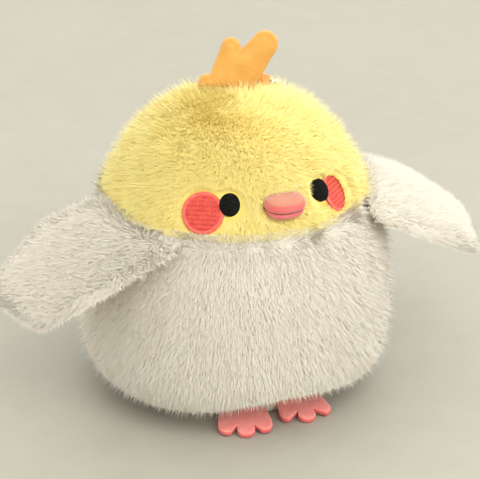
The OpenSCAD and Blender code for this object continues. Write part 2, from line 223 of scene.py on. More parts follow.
def metal_material(name):
    """Plated beads, a little worn."""
    mat, tree, bsdf = nodes_of(name)
    wear = texture(tree, "ShaderNodeTexNoise", 1400.0, Detail=4.0)
    colour = ramp(tree, wear, [(0.35, lin(190, 188, 182)), (0.6, lin(222, 221, 218))])
    rough = ramp(tree, wear, [(0.3, (0.14,) * 3 + (1,)), (0.7, (0.28,) * 3 + (1,))])
    tree.links.new(colour, bsdf.inputs["Base Color"])
    tree.links.new(rough, bsdf.inputs["Roughness"])
    bsdf.inputs["Metallic"].default_value = 1.0
    return mat


YELLOW_SHADES = [(0.0, lin(255, 236, 176)), (0.5, lin(255, 250, 232)), (1.0, lin(255, 255, 255))]
WHITE_SHADES = [(0.0, lin(250, 245, 236)), (0.5, lin(253, 251, 247)), (1.0, lin(255, 255, 254))]
LOOKS = {
    # yellow roots darker and deeper in colour than the tips: painted shade deep in the pile
    "fur_yellow": fur_material("fur_yellow", lin(255, 232, 118), lin(255, 246, 178), YELLOW_SHADES, 0.1),
    # white roots a little lighter than the tips: painted light that lifts the shade between the strands
    "fur_white": fur_material("fur_white", lin(246, 240, 229), lin(241, 237, 228), WHITE_SHADES, 0.12),
    "pelt_yellow": cloth_material("pelt_yellow", lin(253, 226, 108), lin(255, 240, 146)),
    "pelt_white": cloth_material("pelt_white", lin(226, 219, 207), lin(232, 227, 217)),
    "short_pile": cloth_material("short_pile", lin(236, 220, 192), lin(246, 236, 214)),
    "crest": cloth_material("crest", lin(196, 138, 57), lin(209, 158, 79), bump=0.6),
    "felt": cloth_material("felt", lin(222, 116, 112), lin(240, 150, 142), bump=0.6, sheen=0.25),
    # the felt's cut edges take a darker copy of the felt: painted shade on the sides of the feet
    "felt_painted_shade_edge": cloth_material("felt_painted_shade_edge", lin(202, 86, 84), lin(222, 112, 106), bump=0.8, sheen=0.1),
    "beak_upper": cloth_material("beak_upper", lin(173, 107, 86), lin(185, 124, 102), bump=0.5),
    "beak_rim": cloth_material("beak_rim", lin(190, 82, 80), lin(206, 106, 100), bump=0.5),
    "beak_lower": cloth_material("beak_lower", lin(194, 88, 90), lin(210, 114, 110), bump=0.5),
    "ribbon": cloth_material("ribbon", lin(214, 124, 40), lin(232, 150, 62), grain=3800.0, bump=0.5,
                             rough=0.7),
    "coral": thread_material("coral", lin(196, 52, 41), lin(216, 78, 62)),
    # the cheeks' ground, darker than their threads: painted shade in the grooves between the stitch rows
    "coral_painted_shade": thread_material("coral_painted_shade", lin(186, 36, 30), lin(206, 52, 42), rough=0.8, sheen=0.0),
    "coral_light": thread_material("coral_light", lin(218, 80, 66), lin(236, 112, 96)),
    "black": thread_material("black", lin(4, 4, 3), lin(14, 14, 12), rough=0.6, sheen=0.0, gloss=0.12),
    "thread": thread_material("thread", lin(216, 208, 192), lin(240, 234, 222)),
    "metal": metal_material("metal"),
}

# ---------------------------------------------- meshes


def bands(rows, cols, first=0, turned_over=False):
    """Faces between closed rows of points, from that first point on."""
    faces = []
    for i in range(rows - 1):
        for j in range(cols):
            a = first + i * cols + j
            b = first + i * cols + (j + 1) % cols
            faces.append((a, b, b + cols, a + cols) if turned_over else (a, a + cols, b + cols, b))
    return faces


def round_sheet(rows, cols, turned_over=False):
    """Faces from point 0 to the closed row round it, and on from row to row."""
    fan = [(0, 1 + j, 1 + (j + 1) % cols) for j in range(cols)]
    if turned_over:
        fan = [(a, c, b) for a, b, c in fan]
    return fan + bands(rows, cols, 1, turned_over)


def add_mesh(name, verts, faces, mat, body, slot, *stands_for):
    """A smooth piece that rides on a body, in place of the CAD nodes that it stands for."""
    me = bpy.data.meshes.new(name)
    me.from_pydata([tuple(v) for v in np.asarray(verts, float) * MM], [], faces)
    me.validate()
    me.update()
    obj = bpy.data.objects.new(name, me)
    scene.collection.objects.link(obj)
    me.materials.append(mat)
    me.polygons.foreach_set("use_smooth", np.ones(len(me.polygons), bool))
    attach(obj, body)
    if stands_for:
        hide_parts(*stands_for)
    return obj


PIECE_LIMIT = 62000  # strands in one mesh
TONES = 32  # shades of fibre in one fur
# sizes of the small tufts and the broad drifts in the lay of the fur, and in its tone
TUFT, DRIFT = 2.2, 11
TUFT_TONE, DRIFT_TONE = 3.0, 12


def strands(name, root, normal, lay, length, lean, tone, width, body, slot, floor_z=-math.inf):
    """Tapered ribbons of fur, one a row: from root, leaning from the normal towards lay, and curving over."""
    n = len(root)
    parts = n // PIECE_LIMIT + 1
    if parts > 1:
        columns = (root, normal, lay, length, lean, tone, width)
        for i in range(parts):
            strands(f"{name}_{i + 1}", *(x[i::parts] for x in columns), body, slot, floor_z)
        return
    g = np.random.default_rng(n)

    def step(angle):
        return normal * np.cos(angle)[:, None] + lay * np.sin(angle)[:, None]

    mid = root + step(lean * 0.55) * (length * 0.5)[:, None]
    tip = mid + step(lean * 1.3) * (length * 0.5)[:, None]
    for p in (mid, tip):
        p[:, 2] = np.maximum(p[:, 2], floor_z)
    run = unit(tip - root)
    side = unit(np.cross(run, normal) + 1e-6)
    roll = g.uniform(-0.9, 0.9, n)[:, None]
    side = side * np.cos(roll) + np.cross(side, run) * np.sin(roll)
    flat = unit(np.cross(side, run))
    half = side * (width / 2)[:, None]
    verts = np.stack([root - half, root + half, mid - half * 0.85, mid + half * 0.85, tip], 1)
    shading = unit(normal + flat * 0.16 + run * 0.08)
    base = np.arange(n)[:, None] * 5
    loops = np.concatenate([base + [0, 1, 3, 2], base + [2, 3, 4]], 1).ravel()
    starts = (np.arange(n)[:, None] * 7 + [0, 4]).ravel()
    me = bpy.data.meshes.new(name)
    me.vertices.add(n * 5)
    me.vertices.foreach_set("co", (verts.reshape(-1, 3) * MM).ravel())
    me.loops.add(n * 7)
    me.loops.foreach_set("vertex_index", loops)
    me.polygons.add(n * 2)
    me.polygons.foreach_set("loop_start", starts)
    me.polygons.foreach_set("use_smooth", np.ones(n * 2, bool))
    u0 = (np.clip((tone * TONES).astype(int), 0, TONES - 1) / TONES)[:, None]
    left, right, middle = u0 + 0.1 / TONES, u0 + 0.9 / TONES, u0 + 0.5 / TONES
    low, half_way, high = np.full((n, 1), 0.02), np.full((n, 1), 0.5), np.full((n, 1), 0.98)
    across = np.concatenate([left, right, right, left, left, right, middle], 1)
    along = np.concatenate([low, low, half_way, half_way, half_way, half_way, high], 1)
    uv = np.stack([across, along], 2).reshape(-1).astype(np.float32)
    me.uv_layers.new(name="OFBake").data.foreach_set("uv", uv)
    me.update()
    me.normals_split_custom_set_from_vertices(np.repeat(shading, 5, axis=0))
    me.materials.append(LOOKS[slot])
    obj = bpy.data.objects.new(name, me)
    scene.collection.objects.link(obj)
    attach(obj, body)


# ---------------------------------------------- the outline of the bird

BODY_R = 48.8  # largest radius over the pile, at the waist's height
WAIST = 28.0
SPAN = 31.0  # from the waist down to where the round underside would end
NECK = 67.0
TOP = 96.5
HEAD_TAPER = 0.16
CHEST_SWELL = 1.2
HEAD_SWELL = -0.8


def profile():
    """The outline over the pile, base to crown: length along it, radius, height, normal and area so far."""
    t0 = -math.asin((WAIST / SPAN) ** 1.5)
    t = np.linspace(t0, math.pi / 2, 30001)
    s = np.sign(t) * np.abs(np.sin(t)) ** (2 / 3)
    z = WAIST + np.where(s > 0, TOP - WAIST, SPAN) * s
    head = HEAD_SWELL * np.sin(math.pi * (z - NECK) / (TOP - NECK))
    chest = CHEST_SWELL * np.sin(math.pi * (z - WAIST) / (NECK - WAIST))
    swell = np.where(z > NECK, head, np.where(z > WAIST, chest, 0))
    r = BODY_R * np.abs(np.cos(t)) ** (2 / 3) * (1 - HEAD_TAPER * np.maximum(0, s)) + swell
    r = np.maximum(r, 0)
    run = np.concatenate([[0], np.cumsum(np.hypot(np.diff(r), np.diff(z)))])
    even = np.linspace(0, run[-1], 1200)
    r, z = np.interp(even, run, r), np.interp(even, run, z)
    dr, dz = np.gradient(r), np.gradient(z)
    box = np.ones(15) / 15
    inner = slice(20, -20)
    dr[inner], dz[inner] = np.convolve(dr, box, "same")[inner], np.convolve(dz, box, "same")[inner]
    size = np.hypot(dr, dz)
    area = np.concatenate([[0], np.cumsum((r[1:] + r[:-1]) / 2 * np.diff(even))])
    return even, r, z, dz / size, -dr / size, area


RUN, PR, PZ, PNR, PNZ, AREA = profile()


def run_at(z):
    return float(np.interp(z, PZ, RUN))


def radius_at(z):
    return float(np.interp(z, PZ, PR))


RUN_NECK = run_at(NECK)
RUN_MID = run_at(36)
RUN_HEM = run_at(1.2)
# the line that the pile keeps above over the feet: its climb outwards, its height on the axis, its lift
HEM_CLIMB = 0.4325
HEM_LOW = -7.76
HEM_LIFT = 4.0


def tucked(pos):
    """Over the front of the base the pile is drawn up, so that its lower edge clears the feet."""
    az = np.arctan2(pos[..., 0], -pos[..., 1])
    r = np.hypot(pos[..., 0], pos[..., 1])
    line = HEM_CLIMB * r + HEM_LOW + HEM_LIFT * np.exp(-((az + 0.04) / 0.5) ** 2)
    short = np.logaddexp(0, (line - pos[..., 2]) * 1.5) / 1.5
    pos = pos.copy()
    pos[..., 2] += np.exp(-((az - 0.1) / 0.95) ** 2) * short * (r > 20)
    return pos


def over(run, az):
    """Points on the outline, their normals and the way down, at a length along it and an azimuth in radians.

    Azimuth 0 is the face, and + is the bird's left.
    """
    r, z, nr, nz = (np.interp(run, RUN, a) for a in (PR, PZ, PNR, PNZ))
    nr, nz = nr / np.hypot(nr, nz), nz / np.hypot(nr, nz)
    s, c = np.sin(az), -np.cos(az)
    pos = np.stack([r * s, r * c, z], -1)
    nrm = np.stack([nr * s, nr * c, nz], -1)
    down = np.stack([nz * s, nz * c, -nr], -1)
    return tucked(pos), nrm, down


def face_point(az_deg, z):
    """A point on the outline, its normal, and the ways across and up."""
    pos, nrm, down = over(np.interp(z, PZ, RUN), np.radians(az_deg))
    return pos, nrm, unit(np.cross(-down, nrm)), -down


# two steps that fill a square evenly
STEP_U = 0.7548776662
STEP_V = 0.5698402910


def scatter(count, run_low, run_high, seed):
    """Even but irregular places on the outline between two lengths along it."""
    a0, a1 = np.interp([run_low, run_high], RUN, AREA)
    i = np.arange(count)
    g = np.random.default_rng(seed)
    u = (i * STEP_U + g.uniform(-0.4, 0.4, count) / math.sqrt(count)) % 1
    v = (i * STEP_V + g.uniform(-0.4, 0.4, count) / math.sqrt(count)) % 1
    return np.interp(a0 + u * (a1 - a0), AREA, RUN), (v * 2 - 1) * math.pi


# ---------------------------------------------- places of the parts

WING_ROOT = np.array([-38.0, -13.0, 68.0])
WING_YAW, WING_PITCH, WING_DROOP = math.radians(18), math.radians(6.5), math.radians(-34)
# the wing's outline in its own plane is the band round these circles: outwards, along the hinge, radius
WING_CIRCLES = [(4.5, -18.5, 4.5), (39, -1.5, 7.5), (35, 13, 12), (20, 13, 13), (4, 13.5, 4)]
WING_MID = np.array([23.0, 2.0])
WING_INSET = 1.5  # pile outside the backing's edge
HINGE_FROM, HINGE_TO = -22.5, 16.5  # ends of the slot along the hinge
# azimuth in degrees, height, half sizes or radius, and depth under the outline
EYE_AZ, EYE_Z, EYE_A, EYE_B, EYE_DEPTH = 24, 76.3, 3.1, 3.5, 0.55
CHEEK_AZ, CHEEK_Z, CHEEK_R, CHEEK_DEPTH = 36.5, 73.7, 6.5, 1.3
BEAK_X = 0.8
BEAK_Y = -radius_at(74.8)
BEAK_Z = 74.9
CREST_AT = np.array([1.0, 9.0, 96.2])
CREST_YAW = math.radians(-33)
CREST_DIR = np.array([math.cos(CREST_YAW), math.sin(CREST_YAW)])
LOOP_AT = np.array([13.5, 8.5, 96.8])
FOOT_SLOPE = math.radians(11)
# middle of the sewn edge, turn, height of that edge, and length from there to between the toes
FEET = {
    "right": ((-9.3, -29.6), math.radians(-15), 3.481, 8.7),
    "left": ((9.7, -29.1), math.radians(-3), 3.214, 7.3),
}


def wing_frame(side):
    """Root, outward, along the hinge and up, for the right wing (side -1) or the left one (+1)."""
    turns = ((WING_YAW, "Z"), (WING_PITCH, "X"), (WING_DROOP, "Y"))
    yaw, pitch, droop = (Matrix.Rotation(angle, 3, axis) for angle, axis in turns)
    m = yaw @ pitch @ droop
    axes = [np.array(m @ Vector(v)) for v in ((-1, 0, 0), (0, 1, 0), (0, 0, 1))]
    flip = np.array([-side, 1.0, 1.0])
    return [WING_ROOT * flip] + [a * flip for a in axes]


def band_round(circles, count):
    """The rubber band round some circles, as evenly spaced points."""
    a = np.linspace(0, 2 * math.pi, 97)[:-1]
    pts = np.concatenate([np.stack([x + r * np.cos(a), y + r * np.sin(a)], 1) for x, y, r in circles])
    pts = pts[np.lexsort((pts[:, 1], pts[:, 0]))]

    def half(points):
        out = []
        for p in points:
            while len(out) > 1 and np.cross(out[-1] - out[-2], p - out[-1]) <= 0:
                out.pop()
            out.append(p)
        return out[:-1]

    return spaced(np.array(half(pts) + half(pts[::-1])), count)


WING = {"right": wing_frame(-1), "left": wing_frame(1)}
WING_LOOP = band_round([(x, y, r - WING_INSET) for x, y, r in WING_CIRCLES], 160)

# ---------------------------------------------- backing of the head and body

UNDERCOAT = 2.0  # depth of the backing under the outline
CHEEK_HOLLOW = 1.5  # how much deeper the backing lies behind the left cheek, which is tilted into the pile


def undercoat(z):
    """Depth of the backing under the outline. It is more near the base, where the pile is short."""
    return UNDERCOAT + 1.8 * (1 - smooth(z / 9))


def backing(name, run_low, run_high, seed, mat, slot, *stands_for):
    """A sewn backing under the fur, a little uneven where the fibre bunches under it."""
    rows, cols = 60, 144
    run = np.repeat(np.linspace(run_low, run_high, rows), cols)
    az = np.tile(np.linspace(-math.pi, math.pi, cols + 1)[:-1], rows)
    top, nrm, _ = over(run, az)
    pos = top - nrm * undercoat(top[:, 2])[:, None]
    far = np.linalg.norm(top - face_point(CHEEK_AZ + 4, CHEEK_Z)[0], axis=1)
    pos -= nrm * (CHEEK_HOLLOW * (1 - smooth((far - 2) / 5)))[:, None]
    pos += nrm * (0.25 * field(pos, 16, seed)[0])[:, None]
    obj = add_mesh(name, pos, bands(rows, cols, turned_over=True), mat, "bird", slot, *stands_for)


backing("head_backing", RUN_NECK - 1, RUN[-1] - 0.05, 3, LOOKS["pelt_yellow"], "fur_yellow",
        "head_right_panel", "head_left_panel", "stuffing")
backing("body_backing", 3.0, RUN_NECK + 0.5, 4, LOOKS["pelt_white"], "fur_white", "belly_panel", "back_panel")

# ---------------------------------------------- where the fur parts

# A feature gives, for each point p, the distance outside its edge and the way out from it, then how far it
# reaches and how short it makes the fur, as a share of the length.


def oval_feature(p, centre, ex, ey, a, b, reach, shortest):
    """An oval on the face, with half sizes a along ex and b along ey."""
    d = p - centre
    x, y = d @ ex, d @ ey
    gap = (np.hypot(x / a, y / b) - 1) * (a + b) / 2
    away = unit(x[:, None] / a * ex + y[:, None] / b * ey)
    gap = np.where(np.linalg.norm(d, axis=1) > 30, 99, gap)
    return gap, away, reach, shortest


def line_feature(p, at, direction, half_len, half_w, reach, shortest):
    """A straight slot on the crown."""
    d = p[:, :2] - at[:2]
    s = np.clip(d @ direction, -half_len, half_len)
    off = d - s[:, None] * direction
    away = unit(np.column_stack([off, np.zeros(len(p))]))
    gap = np.where(p[:, 2] > 80, np.linalg.norm(off, axis=1) - half_w, 99)
    return gap, away, reach, shortest


def wing_feature(p, side):
    """The slot that the sewn edge of a wing leaves along its hinge."""
    root, out, along, up = WING[side]
    d = p - root
    u, v, n = d @ out, d @ along, d @ up
    gap = np.maximum(np.maximum(np.abs(n + 0.8) - 1.2, -2.0 - u), np.maximum(HINGE_FROM - v, v - HINGE_TO))
    away = unit(np.sign(n)[:, None] * up * 0.5 + out)
    return np.maximum(gap, -1), away, 0.8, 1.0


def foot_feature(p, side):
    """The room over a foot."""
    middle, turn, _, _ = FEET[side]
    d = p[:, :2] - middle
    along = d @ (math.sin(turn), -math.cos(turn))
    across = d @ (math.cos(turn), math.sin(turn))
    gap = np.maximum(np.maximum(np.abs(across) - 7.5, -6 - along), p[:, 2] - 6.5)
    away = np.tile([0.0, -0.4, 1.0], (len(p), 1))
    return np.maximum(gap, -1), away, 3.0, 0.7


def face_features():
    """The eyes, the cheeks and the beak. Pile covers the outer edge of the left cheek."""
    out = []
    for side in (-1, 1):
        at, _, ex, ey = face_point(side * EYE_AZ, EYE_Z)
        out.append((oval_feature, at, ex, ey, EYE_A + 0.5, EYE_B + 0.5, 3.0, 0.35))
        at, _, ex, ey = face_point(side * CHEEK_AZ, CHEEK_Z)
        cover = 1.5 if side > 0 else 0.0
        r = CHEEK_R - cover * 0.8
        out.append((oval_feature, at - ex * cover, ex, ey, r, r + 0.3, 3.5, 0.5))
    beak = np.array([BEAK_X, -radius_at(75), 74.7])
    out.append((oval_feature, beak, np.array([1.0, 0, 0]), np.array([0, 0, 1.0]), 5.9, 2.4, 3.0, 0.6))
    return out


WING_FEATURES = [(wing_feature, "right"), (wing_feature, "left")]
HEAD_FEATURES = face_features() + [
    (line_feature, CREST_AT, CREST_DIR, 8.6, 0.9, 2.0, 0.95),
    (line_feature, LOOP_AT, np.array([0.927, -0.375]), 1.4, 0.6, 2.0, 0.8),
] + WING_FEATURES
BODY_FEATURES = WING_FEATURES + [(foot_feature, "right"), (foot_feature, "left")]

# ---------------------------------------------- fur of the head and body


def parted(lay, length, lean, features):
    """Turns and shortens the fur round each feature, and says which strands stay."""
    keep = np.ones(len(lay), bool)
    for gap, away, reach, shortest in features:
        free = smooth(gap / reach)
        near = 1 - free
        keep &= gap > 0
        lay = unit(lay * (1 - near * 0.8)[:, None] + away * near[:, None])
        length = length * (shortest + (1 - shortest) * free)
        lean = lean * (1 - near) + 0.75 * near
    return keep, lay, length, lean


def fur_on_bird(name, run_low, run_high, flow, slot, features, count, seed, width, mess):
    """Fur over part of the bird. flow gives the lay, the lean and the length for each place."""
    g = np.random.default_rng(seed)
    run, az = scatter(count, run_low, run_high, seed)
    top, nrm, down = over(run, az)
    root = top - nrm * (undercoat(top[:, 2]) - 0.2)[:, None]
    lay, lean, length = flow(top, nrm, down, run)
    for size, seed_2, pull in ((TUFT, seed + 11, 0.2), (DRIFT, seed + 12, 0.5)):
        lay = lay + flattened(field(top, size, seed_2)[1], nrm) * pull * mess
    lay = unit(lay) + 0.55 * mess * g.normal(size=lay.shape)
    lay = unit(flattened(lay, nrm))
    length = length * g.uniform(0.75, 1.12, count)
    length *= 1 + 0.08 * field(top, 9, seed + 13)[0]
    lean = np.clip(lean * g.uniform(0.6, 1.25, count), 0.05, 1.25)
    loose = g.random(count) < 0.07
    lean = np.where(loose, lean * 0.45, lean)
    length = np.where(loose, length * 1.5, length)
    keep, lay, length, lean = parted(lay, length, lean, [feature(top, *rest) for feature, *rest in features])
    tufts = field(top, TUFT_TONE, seed + 11)[0]
    drifts = field(top, DRIFT_TONE, seed + 14)[0]
    tone = 0.6 + 0.16 * mess * tufts + 0.1 * drifts + g.normal(0, 0.16 * mess, count)
    tone = np.clip(tone, 0, 0.999)
    keep &= length > 0.8
    width = width * g.uniform(0.7, 1.25, count)
    columns = (root, nrm, lay, length, lean, tone, width)
    strands(name, *(x[keep] for x in columns), "bird", slot, floor_z=0.4)


def head_flow(p, nrm, down, run):
    """Down from the crown and away from the seam in the middle, in a swirl on the crown itself."""
    near = smooth((run - RUN_NECK) / 6)
    crown = 1 - smooth((RUN[-1] - run) / 40)
    aside = 0.25 * (1 - crown) * np.tanh((p[:, 0] + 4) / 9)
    lay = down * (1 - 0.75 * crown)[:, None] + np.cross(nrm, down) * (0.6 * crown + aside)[:, None]
    return lay, 0.82 - 0.12 * near + 0.35 * crown, 3.4 + 0.3 * near + 0.4 * crown


def body_flow(p, _, down, run):
    """Down from the neck, and shorter and more upright near the base."""
    drop = smooth((RUN_NECK - run) / 9)
    under = 1 - smooth(p[:, 2] / 12)
    lay = down * (drop * 1.3 - 0.3)[:, None]
    return lay, (0.3 + 0.5 * drop) * (1 - 0.5 * under), 4.0 - 0.4 * drop - 2.0 * under


fur_on_bird("head_fur", RUN_NECK + 0.5, RUN[-1], head_flow, "fur_yellow", HEAD_FEATURES,
            count=175000, seed=31, width=0.15, mess=0.75)
fur_on_bird("chest_fur", RUN_MID, RUN_NECK + 0.8, body_flow, "fur_white", BODY_FEATURES,
            count=110000, seed=32, width=0.17, mess=0.5)
fur_on_bird("belly_fur", RUN_HEM, RUN_MID, body_flow, "fur_white", BODY_FEATURES,
            count=110000, seed=33, width=0.17, mess=0.5)

# ---------------------------------------------- wings

# rho runs from 0 in the middle of a wing to 1 at its edge


def top_lift(rho):
    return -1.0 + 2.0 * np.sqrt(np.clip(1 - rho ** 2.6, 0, 1))


def bottom_lift(rho):
    return -1.0 - 1.4 * np.sqrt(np.clip(1 - rho ** 3.5, 0, 1))


def wing_place(side, uv, height):
    root, out, along, up = WING[side]
    return root + uv[:, :1] * out + uv[:, 1:] * along + height[:, None] * up


def wing_sheet(name, side, lift, mat, slot, *stands_for):
    """One face of the wing: a shallow puffed sheet inside the wing's outline."""
    rings, cols = 14, len(WING_LOOP)
    shares = np.linspace(0, 1, rings + 1)[1:]
    uv = np.concatenate([[WING_MID]] + [WING_MID + (WING_LOOP - WING_MID) * k for k in shares])
    rho = np.concatenate([[0], np.repeat(shares, cols)])
    uneven = 0.15 * field(np.column_stack([uv, 0 * rho]), 11, 5)[0] * (rho < 0.95)
    pts = wing_place(side, uv, lift(rho) + uneven)
    return add_mesh(name, pts, round_sheet(rings, cols), mat, f"{side}_wing", slot, *stands_for)


WING_STRANDS = 62000  # before those outside the outline are left out


def wing_fur(side, seed):
    """White pile that lies outwards over the wing, and stands more untidily towards its edge."""
    g = np.random.default_rng(seed)
    i = np.arange(WING_STRANDS)
    lo, hi = WING_LOOP.min(0) - 0.5, WING_LOOP.max(0) + 0.5
    uv = lo + (hi - lo) * np.stack([(i * STEP_U) % 1, (i * STEP_V) % 1], 1)
    d = uv - WING_MID
    turn = np.arctan2(d[:, 1], d[:, 0])
    loop_d = WING_LOOP - WING_MID
    loop_turn = np.arctan2(loop_d[:, 1], loop_d[:, 0])
    order = np.argsort(loop_turn)
    edge = np.interp(turn, loop_turn[order], np.linalg.norm(loop_d, axis=1)[order], period=2 * math.pi)
    rho = np.linalg.norm(d, axis=1) / edge
    inside = rho < 1.0
    uv, d, rho = uv[inside], d[inside], rho[inside]
    count = len(uv)
    _, out, along, up = WING[side]
    pos = wing_place(side, uv, top_lift(rho) - 0.2)
    slope = smooth((rho - 0.75) / 0.25)
    side_way = unit(d)[:, :1] * out + unit(d)[:, 1:] * along
    nrm = unit(up + side_way * (slope * 1.3)[:, None])
    lay = out + along * (0.25 * np.sign(d[:, 1]) * smooth(np.abs(d[:, 1]) / 16))[:, None]
    lay = lay * (1 - 0.4 * slope)[:, None] + side_way * (slope * 0.5)[:, None]
    for size, seed_2, pull in ((TUFT, seed + 1, 0.1), (DRIFT, seed + 2, 0.15)):
        lay = lay + field(pos, size, seed_2)[1] * pull
    lay = unit(lay) + (0.35 + 0.4 * slope)[:, None] * g.normal(size=lay.shape)
    lay = unit(flattened(lay, nrm))
    length = 4.2 * g.uniform(0.7 - 0.3 * slope, 1.15) * (1 - 0.15 * slope)
    lean = 0.75 * g.uniform(0.5 - 0.3 * slope, 1.25)
    tufts = field(pos, TUFT_TONE, seed + 1)[0]
    drifts = field(pos, DRIFT_TONE, seed + 3)[0]
    tone = np.clip(0.6 + 0.08 * tufts + 0.08 * drifts + g.normal(0, 0.08, count), 0, 0.999)
    width = 0.14 * g.uniform(0.7, 1.25, count)
    strands(f"{side}_wing_fur", pos, nrm, lay, length, lean, tone, width, f"{side}_wing", "fur_white")


for side, seed in (("right", 51), ("left", 52)):
    pelt = wing_sheet(f"{side}_wing_backing", side, top_lift, LOOKS["pelt_white"], "fur_white",
                      f"{side}_wing_cover", f"{side}_wing_batting")
    wing_sheet(f"{side}_wing_underside", side, bottom_lift, LOOKS["short_pile"], "short_pile_cream",
               f"{side}_wing_lining")
    wing_fur(side, seed)

# ---------------------------------------------- flat sewn shapes


def edge_gap(p, loop):
    """Distance of each point from an outline."""
    best = np.full(len(p), 1e9)
    for s, e in zip(loop, np.roll(loop, -1, 0)):
        t = np.clip(((p - s) @ (e - s)) / max((e - s) @ (e - s), 1e-12), 0, 1)
        best = np.minimum(best, np.linalg.norm(p - s - t[:, None] * (e - s), axis=1))
    return best


def within(p, loop):
    """Whether each point is inside an outline."""
    inside = np.zeros(len(p), bool)
    for s, e in zip(loop, np.roll(loop, -1, 0)):
        cross = (s[1] > p[:, 1]) != (e[1] > p[:, 1])
        with np.errstate(divide="ignore", invalid="ignore"):
            x = s[0] + (p[:, 1] - s[1]) / (e[1] - s[1]) * (e[0] - s[0])
        inside ^= cross & (p[:, 0] < x)
    return inside


def filled(loop, spacing):
    """An even mesh in an outline: points, triangles, each point's distance from the edge, and the rim."""
    lo, hi = loop.min(0), loop.max(0)
    gx, gy = np.meshgrid(np.arange(lo[0], hi[0], spacing), np.arange(lo[1], hi[1], spacing))
    gx[1::2] += spacing / 2
    grid = np.stack([gx.ravel(), gy.ravel()], 1)
    grid = grid[within(grid, loop)]
    grid = grid[edge_gap(grid, loop) > spacing * 0.45]
    pts = np.concatenate([loop, grid])
    m = len(loop)
    edges = [(i, (i + 1) % m) for i in range(m)]
    res = geometry.delaunay_2d_cdt([Vector(p) for p in pts], edges, [], 1, 1e-6)
    out = np.array([tuple(v) for v in res[0]])
    place = {k: i for i, group in enumerate(res[3]) for k in group}
    return out, [tuple(f) for f in res[2]], edge_gap(out, loop), [place[k] for k in range(m)]


def puffed(name, loop, spacing, top, bottom, place, mat, body, slot, *stands_for, edge_mat=None):
    """A closed soft shape. top and bottom give its height from the distance to the edge and the place."""
    pts, tris, gap, rim = filled(loop, spacing)
    n = len(pts)
    upper = place(pts, top(gap, pts))
    lower = place(pts, bottom(gap, pts))
    faces = tris + [tuple(i + n for i in f[::-1]) for f in tris]
    faces += [(i, i + n, j + n, j) for i, j in zip(rim, rim[1:] + rim[:1])]
    obj = add_mesh(name, np.concatenate([upper, lower]), faces, mat, body, slot, *stands_for)
    if edge_mat:
        obj.data.materials.append(edge_mat)
        edge = set(np.flatnonzero(gap < 0.01)) | set(np.flatnonzero(gap < 0.01) + n)
        for face in obj.data.polygons:
            face.material_index = int(all(v in edge for v in face.vertices))
    return obj


def contour(dist, centre, reach, step):
    """The closed line round a centre where dist turns positive, as evenly spaced points."""
    a = np.linspace(0, 2 * math.pi, 1441)[:-1]
    k = np.linspace(0, reach, 600)
    rays = np.stack([np.cos(a), np.sin(a)], 1)
    pts = np.array(centre, float) + rays[:, None, :] * k[None, :, None]
    outside = dist(pts.reshape(-1, 2)).reshape(len(a), len(k)) > 0
    return spaced(np.array(centre, float) + rays * k[np.argmax(outside, axis=1)][:, None], step=step)


# ---------------------------------------------- crest


def capsule(a, ra, b, rb):
    """Distance outside a lobe that runs from a round foot to a round tip."""
    a, b = np.array(a, float), np.array(b, float)
    run = np.linalg.norm(b - a)
    axis = (b - a) / run
    lean = (ra - rb) / run

    def dist(p):
        along = (p - a) @ axis
        off = np.abs((p - a) @ np.array([-axis[1], axis[0]]))
        t = np.clip((along + off * lean / math.sqrt(1 - lean * lean)) / run, 0, 1)
        return np.hypot(along - t * run, off) - (ra + (rb - ra) * t)

    return dist


# across the crest and up; the last two make one long lobe
CREST_LOBES = [
    capsule((-6.3, -4), 2.6, (-6.3, 1.2), 2.6),
    capsule((-0.9, 3.5), 4.3, (1.3, 13.1), 3.0),
    capsule((4.8, 1), 4.0, (8, 9.2), 5.0),
    capsule((8, 9.2), 5.0, (12, 14.8), 4.1),
]


def crest_dist(p):
    """Distance outside the crest: the lobes and the block that joins them, cut off at the sewn edge."""
    block = np.maximum(np.abs(p[:, 0] - 1) - 7.3, p[:, 1] - 2.4)
    d = np.minimum(np.min([lobe(p) for lobe in CREST_LOBES], axis=0), block)
    return np.maximum(d, -1.2 - p[:, 1])


def crest_place(pts, h):
    """The crest stands on its sewn edge, and its tips bend back a little."""
    across = np.array([CREST_DIR[0], CREST_DIR[1], 0])
    up = np.array([0, 0, 1.0])
    front = np.array([CREST_DIR[1], -CREST_DIR[0], 0])
    bend = np.maximum(pts[:, 1], 0) ** 2 * 0.004
    return CREST_AT + pts[:, :1] * across + pts[:, 1:] * up + (h - bend)[:, None] * front


def crest_top(gap, _):
    groove = 0.35 * np.exp(-((gap - 1.3) / 0.35) ** 2)
    return 0.5 + 1.1 * np.sqrt(np.clip(gap / 4.0, 0, 1)) - groove


def crest_bottom(gap, pts):
    return -crest_top(gap, pts)


crest_loop = contour(crest_dist, (0.5, 1.0), 28, 0.4)
crest = puffed("crest_plush", crest_loop, 0.55, crest_top, crest_bottom, crest_place, LOOKS["crest"], "crest",
               "crest_plush_orange", "crest_front_panel", "crest_filling", "crest_back_panel")

# ---------------------------------------------- feet


def foot_dist(p, reach):
    """Distance outside a foot: a pad that widens towards its three round toes."""
    half_w = np.interp(p[:, 1], [0, 3.4, 6.8, 8.7], [6.8, 7.8, 8.4, 8.5])
    pad = np.maximum(np.maximum(np.abs(p[:, 0]) - half_w, p[:, 1] - reach), -p[:, 1])
    toe_tips = ((-5.6, reach), (0, reach + 1.6), (5.6, reach))
    toes = [np.linalg.norm(p - tip, axis=1) - 2.8 for tip in toe_tips]
    return np.minimum(pad, np.min(toes, axis=0))


def felt_edge(gap):
    """Half the felt's thickness, rounded off over its last 0.4 mm."""
    return 0.7 + 0.25 * np.sqrt(np.clip(1 - (1 - np.clip(gap / 0.4, 0, 1)) ** 2, 0, 1))


def felt_top(gap, p):
    return felt_edge(gap) + 0.05 * np.sin(p[:, 0] * 2.1) * np.sin(p[:, 1] * 1.7)


def felt_bottom(gap, _):
    return -felt_edge(gap)


